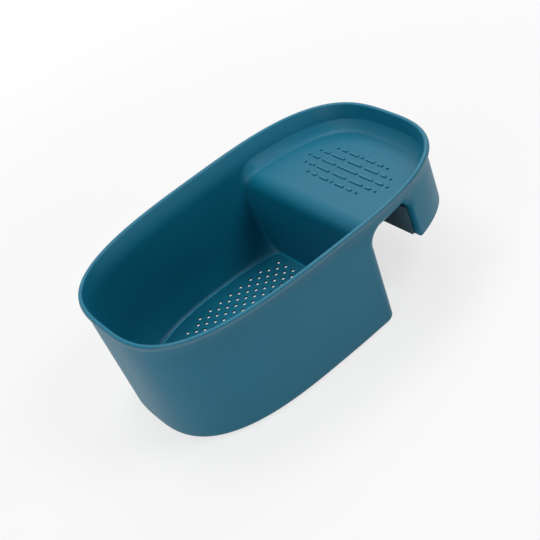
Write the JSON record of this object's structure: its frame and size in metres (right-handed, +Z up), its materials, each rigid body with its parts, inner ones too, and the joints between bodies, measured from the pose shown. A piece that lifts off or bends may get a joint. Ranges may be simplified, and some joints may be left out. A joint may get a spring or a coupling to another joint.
{
  "type": "over-sink colander",
  "caption": "Oval over-sink colander: a deep basin with a lift-out perforated floor, a shallow tray with raised dashes, and a hook with an anti-slip pad.",
  "frame": {"origin": "centre of the bounding box, on the plane that the basin's feet stand on", "axes": "+Z up out of the basin, +X along the length from the basin towards the hook, +Y across"},
  "size_m": [0.296, 0.189, 0.105],
  "materials": {
    "teal_plastic": "satin moulded polypropylene, deep teal",
    "teal_plate_plastic": "satin moulded polypropylene, a little lighter teal",
    "grey_rubber": "matt grey rubber sheet"
  },
  "bodies": {
    "basket": {"basket_body": "teal_plastic", "hook_pad": "grey_rubber"},
    "strainer": {"strainer_plate": "teal_plate_plastic"}
  },
  "joints": [
    {"name": "strainer_lift", "type": "slide", "parent": "basket", "child": "strainer", "axis": [0, 0, 1], "range_m": [0, 0.105]}
  ]
}
